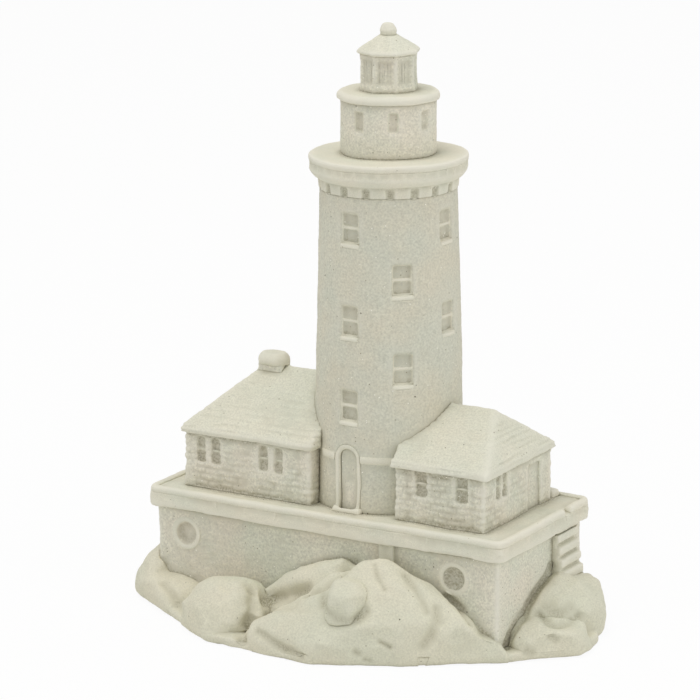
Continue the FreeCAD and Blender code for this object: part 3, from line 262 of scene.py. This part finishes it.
def pointsOf(mesh):
    flat = np.empty(len(mesh.vertices) * 3, np.float32)
    mesh.vertices.foreach_get("co", flat)
    return flat.reshape(-1, 3).astype(np.float64) / mm


def normalsOf(mesh):
    flat = np.empty(len(mesh.vertices) * 3, np.float32)
    mesh.vertex_normals.foreach_get("vector", flat)
    return flat.reshape(-1, 3).astype(np.float64)


def put(mesh, points):
    # Sets the mesh on these points, in mm, none of them outside the solids' own box
    points = np.clip(points, np.array(cadLow) / mm, np.array(cadHigh) / mm)
    mesh.vertices.foreach_set("co", (points * mm).astype(np.float32).ravel())
    mesh.update()


def lumps(points, size, seed):
    # Soft lumps of this size in mm, from -1 to 1; the large numbers scatter each corner of
    # the grid to a height of its own, the same in every run
    cell = points / size + seed * 7.31
    corner0 = np.floor(cell).astype(np.int64)
    part = cell - corner0
    part = part * part * (3 - 2 * part)
    total = np.zeros(len(points))
    for corner in np.ndindex(2, 2, 2):
        key = corner0 + corner
        key = key[:, 0] * 73856093 ^ key[:, 1] * 19349663 ^ key[:, 2] * 83492791 ^ seed * 2654435
        key = (key ^ key >> 13) * 1274126177 & 0xffffffff
        key = (key ^ key >> 16) & 0xffff
        share = np.prod(np.where(corner, part, 1 - part), axis=1)
        total += share * (key / 32767.5 - 1)
    return total


def cloudOf(points):
    # Loose points that a Shrinkwrap modifier can set on a surface
    mesh = bpy.data.meshes.new("cloud")
    mesh.vertices.add(len(points))
    mesh.vertices.foreach_set("co", (points * mm).astype(np.float32).ravel())
    cloud = bpy.data.objects.new("cloud", mesh)
    bpy.context.scene.collection.objects.link(cloud)
    return cloud


def nearest(points, surface):
    # The nearest place on a surface to each point, and the surface's normal there
    found = []
    for lift in (0, 1):
        cloud = cloudOf(points)
        modified(cloud, "SHRINKWRAP", target=surface, wrap_method="NEAREST_SURFACEPOINT",
                 wrap_mode="ABOVE_SURFACE", offset=lift * mm)
        found.append(pointsOf(cloud.data))
        bpy.data.objects.remove(cloud)
    normal = found[1] - found[0]
    return found[0], normal / np.maximum(np.linalg.norm(normal, axis=1), 0.001)[:, None]


def copyOf(piece, name):
    made = piece.copy()
    made.data = piece.data.copy()
    made.name = name
    bpy.context.scene.collection.objects.link(made)
    return made


def joined(pieces):
    selectOnly(pieces[0])
    for piece in pieces[1:]:
        piece.select_set(True)
    bpy.ops.object.join()
    return bpy.context.object


def blob(at, radii, turn=(0, 0, 0)):
    # A rounded lump of rock to add to a piece
    bpy.ops.object.select_all(action="DESELECT")
    bpy.ops.mesh.primitive_ico_sphere_add(subdivisions=4, radius=mm,
                                          location=[part * mm for part in at])
    made = bpy.context.object
    made.scale = radii
    made.rotation_euler = [math.radians(angle) for angle in turn]
    bpy.ops.object.transform_apply(location=True, rotation=True, scale=True)
    return made


# How finely each kind of piece is cut, and the waves (size, depth) of its surface, in mm
wallForm = {"grid": 0.41, "waves": ((18, 0.12), (5, 0.06), (0.9, 0.06), (0.5, 0.04))}
trimForm = {"grid": 0.3, "waves": ((9, 0.06), (2.5, 0.04), (0.6, 0.02))}
smallForm = {"grid": 0.22, "waves": ((4, 0.05), (1.2, 0.03))}
roofForm = {"grid": 0.39, "waves": ((12, 0.12), (3, 0.08), (1.0, 0.06), (0.5, 0.03))}
rockForm = {"grid": 0.48, "waves": ((12, 0.7), (5, 0.25), (2.4, 0.12), (1.0, 0.05)),
            "creases": ((11, 0.7), (4.5, 0.3))}
forms = {"cast_wall": wallForm, "cast_trim": trimForm, "cast_roof": roofForm,
         "cast_rock": rockForm}
smalls = ("porthole_rings", "coping_posts", "tower_sashes", "tower_sills",
          "left_glazing_bars", "right_glazing_bars", "rail_posts", "watch_sashes")
# The two largest walls are cut a little coarser
widerGrid = {"pier_wall": 1.25, "tower_shaft": 1.2}
rocks = [node for node in sorted(frame["nodes"]) if slotOf[node] == "cast_rock"]


def formOf(node):
    return smallForm if node in smalls else forms[slotOf[node]]


# Rocks: each node's own form, with lumps (middle, radii, turn) that carry it down to the
# ground and into its neighbours, as the casting has it
rockLumps = {
    "front_left_boulder": (((-30.8, -37.5, 1), (12.2, 13.5, 13.8)),),
    "centre_boulder": (((8, -41, 0), (24, 11, 8)), ((-3, -45, 5), (16, 7, 7.5), (0, -13, 4)),
                       ((33, -29, 4), (15, 7, 11), (0, 27, 0))),
    "leaning_slab": (((-8, -29.5, 11.3), (19, 6.2, 6), (0, -23.7, 0)),
                     ((-8, -29, 3), (17, 7, 8))),
    "front_right_rock": (((41, -30, 0), (12, 10, 9)),),
    "right_corner_rock": (((56, -10, 0), (11, 12, 9)),),
    "right_stair_rock": (((50.5, -4, 6), (5.5, 17, 8), (30, 0, 0)),
                         ((54, 8, 3), (8, 13, 11))),
    "left_side_rock": (((-62, -19, 2), (7.5, 12, 12)), ((-54, -27, 0), (13, 10, 9)),
                       ((-63.5, -25, 2), (6.8, 7, 8)))}
# Where the rocks meet the ground, in mm, one corner after the other round the casting
footprint = ((-69.8, -25.5), (-55, -35), (-41, -43.6), (-29.7, -51), (-13, -52), (4, -53.5),
             (27.7, -42.2), (51.5, -25), (66, -10.5), (66, 2.7), (58, 17), (43.6, 30.6),
             (13, 34), (-26, 32), (-56, 30.6), (-69.3, 10))
# A rock's lower edge is drawn in, and higher up its side leans in, by mm to each mm
rockEdge = {"height": 2.5, "inset": 1.2, "leanFrom": 5, "leanOver": 30, "lean": 0.06}
steeper = {"left_side_rock": 0.4}

# The tower's wall, its radius at two heights. The ledges on it stand out by this share of
# what the solids do, for the casting is worn and its mould was soft.
towerWall = ((33.4, 120.5), (20.8, 18.8))
standOut = {"tower_sills": 0.3, "door_frame": 0.5, "left_bay_eave": 0.5,
            "right_bay_eave": 0.5, "door_step": 0.6, "gallery_corbels": 0.2}
sashes = {"seat": 0.9, "share": 0.45}
galleryStrip = {"low": 125.5, "high": 128, "from": 20, "rim": 21.7, "share": 0.6,
                "slopeFrom": 18, "slope": ((122.8, 125.6), (19.4, 21.7))}
copingStrip = {"low": 30.3, "high": 32.5, "reach": 1.7, "share": 0.45,
               "sides": ((0, -62.4, 1), (0, 50.3, -1), (1, -27.5, 1), (1, 24.6, -1))}
rings = {"wall": -25.5, "share": 0.6}
ball = {"middle": (12.5, -44.5, 16.2), "size": (0.8, 0.95, 0.8), "shift": (-1.2, 0.5, 0.2)}


def eased(node, points):
    # The rubber mould draws ledges in and fills the narrow strips between them
    east, north, up = points.T
    out = np.hypot(east, north)
    if node in standOut:
        wall = np.interp(up, *towerWall)
        share = np.where(out > wall, (wall + standOut[node] * (out - wall)) / out, 1)
        points[:, :2] *= share[:, None]
    if node == "tower_sashes":
        seat = np.interp(up, *towerWall) - sashes["seat"]
        share = np.where(out > seat, (seat + sashes["share"] * (out - seat)) / out, 1)
        points[:, :2] *= share[:, None]
    if node in ("gallery_slab", "rail_posts"):
        rim = galleryStrip["rim"]
        strip = (up > galleryStrip["low"]) & (up < galleryStrip["high"])
        strip &= out > galleryStrip["from"]
        share = np.where(strip, (rim - galleryStrip["share"] * (rim - out)) / out, 1)
        slope = np.interp(up, *galleryStrip["slope"]) / out
        slope = np.where(out > galleryStrip["slopeFrom"], slope, 1)
        points[:, :2] *= np.minimum(share, slope)[:, None]
    if node in ("deck_slab", "coping_posts"):
        strip = (up > copingStrip["low"]) & (up < copingStrip["high"])
        for axis, side, inward in copingStrip["sides"]:
            deep = (points[:, axis] - side) * inward
            near = strip & (deep > 0) & (deep < copingStrip["reach"])
            drawn = side + inward * copingStrip["share"] * deep
            points[:, axis] = np.where(near, drawn, points[:, axis])
    if node == "porthole_rings":
        proud = north - rings["wall"]
        points[:, 1] = np.where(proud < 0, rings["wall"] + rings["share"] * proud, north)
    if node == "ball_boulder":
        middle = np.array(ball["middle"])
        points[:] = middle + (points - middle) * ball["size"] + ball["shift"]
    return points


def rawPiece(node):
    # The piece in fine faces; a rock is kept within the footprint, its lower edge drawn in
    grid = formOf(node)["grid"] * widerGrid.get(node, 1)
    piece = joined([copied(node)] + [blob(*settings) for settings in rockLumps.get(node, ())])
    remeshed(piece, grid)
    points = eased(node, pointsOf(piece.data))
    if slotOf[node] != "cast_rock":
        put(piece.data, points)
        return piece
    east, north, up = points.T
    lean = steeper.get(node, rockEdge["lean"])
    for (x, y), (endX, endY) in zip(footprint, footprint[1:] + footprint[:1]):
        across, along = endY - y, x - endX
        length = math.hypot(across, along)
        over = ((east - x) * across + (north - y) * along) / length
        room = -rockEdge["inset"] * np.clip(1 - up / rockEdge["height"], 0, 1) ** 2
        room -= lean * np.clip(up - rockEdge["leanFrom"], 0, rockEdge["leanOver"])
        over = np.maximum(over - room, 0)
        east -= over * across / length
        north -= over * along / length
    put(piece.data, points)
    remeshed(piece, grid)
    return piece


raw = {node: rawPiece(node) for node in sorted(frame["nodes"])}
print("pieces copied")


# The whole casting's skin, softened where one piece meets another: the passes for each
# region in turn, and for the much softer form that the hollows are measured from
skinGrid = 0.33
passes = {"all": 6, "strips": 34, "belt": 16, "rings": 40, "lantern": 16, "eaves": 50,
          "left": 60, "chimney": 12, "roofs": 60, "shaft": 14, "doorway": 26, "lights": 4,
          "stairs": 24, "rocks": 22}
softPasses = 80


def between(values, low, high):
    return (values > low) & (values < high)


skin = joined([copyOf(piece, "skin") for piece in raw.values()])
remeshed(skin, skinGrid)
east, north, up = pointsOf(skin.data).T
out = np.hypot(east, north)
pierEdge = (north < -23.5) | (north > 20.6) | (east > 46.3) | (east < -58.4)
leftRoof = between(up, 49.4, 70) & (east < -11)
rightRoof = between(up, 48.6, 64) & (east > 12)
rockSides = (north < -26.6) | (north > 23.5) | (east < -61) | ((east > 49) & (up < 15))
regions = {
    "all": up > -1,
    "strips": between(up, 29.6, 34.6) & pierEdge,
    "belt": between(up, 124.5, 128.8),
    "rings": (north < -24) & (up < 29) & ((abs(east + 50.5) < 7) | (abs(east - 34.7) < 7)),
    "lantern": between(up, 147.2, 156.5),
    "eaves": (north < -17) & (abs(east + 1.2) > 4.5) & (abs(east) < 13) & between(up, 46, 51),
    "left": (east < -50) & (up < 24) & ((north < -26.2) | (east < -60.5)),
    "chimney": (up > 64) & between(east, -43, -30),
    "roofs": (leftRoof | rightRoof) & (out > 20),
    "shaft": (out < 23) & between(up, 50, 119),
    "doorway": (north < -17) & (abs(east + 0.5) < 13) & between(up, 34, 53.5),
    "lights": between(up, 38, 48) & (out > 21.5),
    "stairs": (east > 48.4) & between(north, 3, 19) & between(up, 13, 30),
    "rocks": rockSides & (up < 27)}
for name, count in passes.items():
    group = skin.vertex_groups.new(name=name)
    group.add(np.nonzero(regions[name])[0].tolist(), 1, "REPLACE")
    smoothed(skin, count, name)


# Clefts and pits of the rocks: a path in the photograph's pixels, laid on the skin from the
# camera's place, then width and depth in mm
rockClefts = (
    (((254, 590), (253, 604), (251, 618), (247, 630), (241, 641)), 1.8, 1.6),
    (((322, 590), (323, 602), (327, 612), (335, 620), (346, 623), (357, 619), (366, 611)),
     1.5, 0.35),
    (((270, 597), (292, 594), (318, 588), (337, 576), (352, 566)), 2.4, 2.2),
    (((436, 610), (437, 622), (430, 638), (424, 645)), 1.9, 1.0),
    (((447, 598), (458, 608), (470, 621)), 1.3, 1.2),
    (((407, 575), (413, 585), (421, 600), (428, 612)), 1.6, 0.7),
    (((375, 565), (378, 578), (385, 590)), 1.0, 0.5),
    (((380, 643), (390, 648)), 0.7, 0.8), (((355, 652), (358, 654)), 0.9, 0.5),
    (((365, 660), (369, 661)), 0.9, 0.5), (((553, 638), (557, 641)), 0.8, 0.6),
    (((258, 632), (270, 641), (285, 650), (300, 657)), 1.4, 1.0),
    (((540, 612), (549, 620), (560, 623), (570, 621), (579, 615)), 2.0, 1.3),
    (((546, 607), (560, 611), (572, 609)), 2.6, 1.0),
    (((550, 566), (545, 578), (537, 592), (530, 604), (523, 618), (516, 630), (506, 644)),
     1.2, 0.8),
    (((163, 583), (171, 591), (178, 601)), 1.5, 0.9), (((527, 652), (531, 655)), 1.5, 0.6))
rayStep = 2                              # pixels from one ray to the next along a path

skinTree = BVHTree.FromObject(skin, bpy.context.evaluated_depsgraph_get())
eye, turned = camera.location, camera.rotation_euler.to_matrix()
ahead = -lens.lens / lens.sensor_width * picture
clefts = []
for path, width, deep in rockClefts:
    spots = []
    for start, end in zip(path, path[1:]):
        for share in np.linspace(0, 1, max(2, int(math.dist(start, end) / rayStep))):
            across, down = np.array(start) + (np.array(end) - start) * share
            ray = turned @ Vector((across - picture / 2, picture / 2 - down, ahead))
            hit = skinTree.ray_cast(eye, ray.normalized())[0]
            if hit:
                spots.append(np.array(hit) / mm)
    clefts.append((spots, width, deep))


def cleft(points):
    # How deep the rocks' clefts are at these points, and how near to a cleft they lie
    depth, nearness = np.zeros(len(points)), np.zeros(len(points))
    for spots, width, deep in clefts:
        low, high = np.min(spots, axis=0) - 3 * width, np.max(spots, axis=0) + 3 * width
        around = np.nonzero(np.all((points > low) & (points < high), axis=1))[0]
        close = np.full(len(around), 99.0)
        for spot in spots:
            close = np.minimum(close, np.sum((points[around] - spot) ** 2, axis=1))
        near = np.exp(-close / width ** 2)
        depth[around] = np.maximum(depth[around], deep * near)
        nearness[around] = np.maximum(nearness[around], near)
    return depth[:, None], nearness


# Gaps between the corbels, open at the foot, all round the tower's head
corbels = {"count": 18, "turn": 1.6, "radius": 20, "low": 120.0, "high": 122.9, "depth": 0.75,
           "wide": 1.1}
carved, outward = pointsOf(skin.data), normalsOf(skin.data)
carved -= outward * cleft(carved)[0]
pitch = 360 / corbels["count"]
aside = np.degrees(np.arctan2(carved[:, 1], carved[:, 0])) - corbels["turn"]
aside = abs((aside + pitch / 2) % pitch - pitch / 2) * math.pi / 180 * corbels["radius"]
gap = corbels["depth"] * np.exp(-(aside / corbels["wide"]) ** 4)
gap *= between(carved[:, 2], corbels["low"], corbels["high"])
put(skin.data, carved - outward * gap[:, None])
smoothed(skin, 2, "rocks")
softSkin = copyOf(skin, "softSkin")
smoothed(softSkin, softPasses)
print("skin ready", len(skin.data.polygons))


# Each piece is drawn to the skin, in mm. What lies deeper than sink stays under its
# neighbour, and from lost on it isn't drawn at all; the surface's waves end at waveEnd.
settle = {"sink": 0.3, "pull": 0.88, "lost": 1.5, "waveEnd": 1.2, "waveFade": 0.9,
          "facing": 2.5, "rockStep": 0.02}
sink, lost = settle["sink"], settle["lost"]
for piece in raw.values():
    smoothed(piece, 1)
cuts = np.cumsum([0] + [len(piece.data.vertices) for piece in raw.values()])
every = np.concatenate([pointsOf(piece.data) for piece in raw.values()])
everyNormal = np.concatenate([normalsOf(piece.data) for piece in raw.values()])
every -= everyNormal * cleft(every)[0]
onSkin, skinNormal = nearest(every, skin)
onSoft, softNormal = nearest(onSkin, softSkin)
hollow = np.sum((onSoft - onSkin) * softNormal, axis=1)
below = np.sum((every - onSkin) * skinNormal, axis=1)
facing = np.sum(everyNormal * skinNormal, axis=1)
facing = np.clip(facing * settle["facing"] + 1, 0, 1)
shallow = np.where(below < 0, settle["pull"], 1)
deeper = (settle["pull"] * sink / np.maximum(-below, sink)
          * np.clip((below + lost) / (lost - sink), 0, 1))
pull = np.where(below > -sink, shallow, deeper) * facing
shown = np.clip((below + settle["waveEnd"]) / settle["waveFade"], 0, 1) * facing
settled = every + (onSkin - every) * pull[:, None]
# Two rocks that share a face lie one under the other there
ranks = [rocks.index(node) if node in rocks else 0 for node in raw]
rank = np.repeat(ranks, np.diff(cuts))
settled -= skinNormal * (settle["rockStep"] * rank * (below > -sink))[:, None]
bpy.data.objects.remove(skin)
bpy.data.objects.remove(softSkin)
print("pieces set on the skin", len(every))


# Masonry: worn courses 1.8 mm high, of stones about 4 mm long, and pick marks on them. The
# last number given to lumps is always its seed.
stones = {"high": 1.8, "long": 4, "shift": 0.618, "joint": 0.3, "marks": 0.6}
courseDepth = {"left_house_walls": 0.27, "right_house_walls": 0.25, "pier_wall": 0.09,
               "wall_block": 0.05}
# Shingles: rows 1.35 mm high, fainter towards the ridge
rows = {"high": 1.35, "wave": 0.12, "ridge": ((52, 60), (1, 0.45))}
shingleDepth = {"left_roof": 0.42, "right_roof": 0.32}
# What a soft mould does to straight lines: waves (size, depth) in mm, none at the ground
mould = {"waves": ((8, 0.17), (2.6, 0.06)), "ground": 3}


def courses(points):
    row = points[:, 2] / stones["high"]
    along = (points[:, 0] + points[:, 1]) / stones["long"] + (np.floor(row) * stones["shift"]) % 1
    joint = np.minimum(abs(row - np.round(row)) * stones["high"],
                       abs(along - np.round(along)) * stones["long"])
    fade = np.clip(lumps(points, 5, 31) * 1.5 + 0.6, 0, 1)
    marks = lumps(points * (0.35, 0.35, 1.1), 1, 32)
    return -np.exp(-(joint / stones["joint"]) ** 2) * fade + stones["marks"] * marks


def shingles(points, normals):
    # Each row stands a little proud at its foot, here and there
    row = points[:, 2] / rows["high"] + rows["wave"] * lumps(points, 6, 33)
    step = row - np.floor(row)
    fade = np.clip(lumps(points * (0.14, 0.14, 0.5), 1, 34) * 1.6 + 0.8, 0, 1)
    fade *= np.interp(points[:, 2], *rows["ridge"])
    slope = np.clip(1.6 - 1.6 * normals[:, 2] ** 2, 0, 1)
    return (0.5 - step) * fade * slope


def drift(points):
    (long, far), (short, near) = mould["waves"]
    way = [far * lumps(points, long, 41 + axis) + near * lumps(points, short, 44 + axis)
           for axis in range(3)]
    way[2] *= np.clip(points[:, 2] / mould["ground"], 0, 1)
    return np.stack(way, axis=1)


# Grit and painted shade: how much the surface's own waves count as hollows, on rocks and
# elsewhere, what the clefts and the front porthole's dish keep, and where it is painted thicker
gritShade = {"rockWaves": 0.1, "waves": 0.5, "clefts": 0.45, "dish": 0.3}
keptShare = {"right_house_walls": 1.5, "right_glazing_bars": 1.7, "left_glazing_bars": 1.3,
             "tower_sashes": 1.2, "left_house_walls": 1.2}
dish = {"east": 34.7, "up": 21.4, "radius": 3.2, "north": -20}
groundWaves = {"height": 6, "least": 0.2}    # the rocks' waves are flatter near the ground

for count, (node, piece) in enumerate(raw.items()):
    form = formOf(node)
    part = slice(cuts[count], cuts[count + 1])
    spots, outward = settled[part], skinNormal[part]
    height = np.zeros(len(spots))
    for seed, (size, depth) in enumerate(form["waves"], 1):
        height += depth * lumps(spots, size, seed)
    for seed, (size, depth) in enumerate(form.get("creases", ()), 51):
        height += depth * (0.6 - 2 * abs(lumps(spots, size, seed)))
    if node in rocks:
        height *= np.clip(spots[:, 2] / groundWaves["height"], groundWaves["least"], 1)
    if node in courseDepth:
        height += courseDepth[node] * courses(spots)
    if node in shingleDepth:
        height += shingleDepth[node] * shingles(spots, outward)
    put(piece.data, spots + outward * (height * shown[part])[:, None] + drift(spots))

    # Painted shade, with the grit kept there, in the hollows and the troughs of the surface's
    # waves
    waves = gritShade["rockWaves"] if node in rocks else gritShade["waves"]
    kept = (hollow[part] - height * waves) * keptShare.get(node, 1)
    # Painted shade along the rocks' clefts
    if node in rocks:
        kept += gritShade["clefts"] * cleft(spots)[1]
    # Painted shade in the front porthole's dish
    if node == "pier_wall":
        away = np.hypot(spots[:, 0] - dish["east"], spots[:, 2] - dish["up"])
        kept += gritShade["dish"] * ((away < dish["radius"]) & (spots[:, 1] < dish["north"]))
    mark = piece.data.attributes.new("hollow", "FLOAT", "POINT")
    mark.data.foreach_set("value", kept.astype(np.float32))
    piece.data.materials.clear()
    piece.data.materials.append(stone[lookOf.get(node, slotOf[node])])
    piece.data.polygons.foreach_set("use_smooth", [True] * len(piece.data.polygons))
    piece.name = node + "_cast"
    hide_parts(node)
    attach(piece, "root")
    print(node, len(piece.data.polygons) * 2, "triangles")


# Pale floor and soft studio light: the floor's side in metres, the share of its white that
# no shadow reaches, and the sky's light on the object; each lamp's place, size and power
studio = {"floor": 6, "floorColour": "#f4f4f2", "white": "#ffffff", "unshaded": 0.93,
          "sky": 0.56, "aim": 0.07}
lamps = {"key": ((-0.1, -0.35, 1.6), 0.9, 9.5), "fill": ((1.5, 0.1, 0.5), 1.0, 4.4),
         "front": ((-0.8, -1.3, 0.6), 1.0, 1.6)}


def seenIn(tree):
    # 1 for what the camera sees, straight, in a gloss or through glass, and 0 for the rest
    rays = add(tree, "ShaderNodeLightPath")
    other = add(tree, "ShaderNodeMath", {"operation": "MAXIMUM"},
                {0: rays.outputs["Is Glossy Ray"], 1: rays.outputs["Is Transmission Ray"]})
    return add(tree, "ShaderNodeMath", {"operation": "MAXIMUM"},
               {0: rays.outputs["Is Camera Ray"], 1: other.outputs[0]}).outputs[0]


bpy.ops.object.select_all(action="DESELECT")
bpy.ops.mesh.primitive_plane_add(size=studio["floor"], location=(0, 0, 0))
floor = bpy.context.object
floor.name = "floor"
paper = bpy.data.materials.new("white_paper")
paper.use_nodes = True
paperTree = paper.node_tree
paperTree.nodes.clear()
matt = add(paperTree, "ShaderNodeBsdfDiffuse", {"Color": linear(studio["floorColour"])})
glow = add(paperTree, "ShaderNodeEmission", {"Color": linear(studio["white"]), "Strength": 1.0})
share = add(paperTree, "ShaderNodeMath", {"operation": "MULTIPLY", 1: studio["unshaded"]},
            {0: seenIn(paperTree)})
blend = add(paperTree, "ShaderNodeMixShader", {},
            {0: share.outputs[0], 1: matt.outputs[0], 2: glow.outputs[0]})
add(paperTree, "ShaderNodeOutputMaterial", {}, {"Surface": blend.outputs[0]})
floor.data.materials.append(paper)

world = bpy.data.worlds.new("studio")
bpy.context.scene.world = world
world.use_nodes = True
skyTree = world.node_tree
skyTree.nodes.clear()
strength = add(skyTree, "ShaderNodeMapRange", {"To Min": studio["sky"]},
               {"Value": seenIn(skyTree)})
sky = add(skyTree, "ShaderNodeBackground", {"Color": linear(studio["white"])},
          {"Strength": strength.outputs[0]})
add(skyTree, "ShaderNodeOutputWorld", {}, {"Surface": sky.outputs[0]})

for name, (at, size, power) in lamps.items():
    light = bpy.data.lights.new(name, "AREA")
    light.size = size
    light.energy = power
    holder = bpy.data.objects.new(name, light)
    bpy.context.scene.collection.objects.link(holder)
    holder.location = at
    away = holder.location.copy()
    away.z -= studio["aim"]
    holder.rotation_euler = away.to_track_quat("Z", "Y").to_euler()

bpy.context.scene.view_settings.view_transform = "Standard"
print("floor, sky and lamps ready")
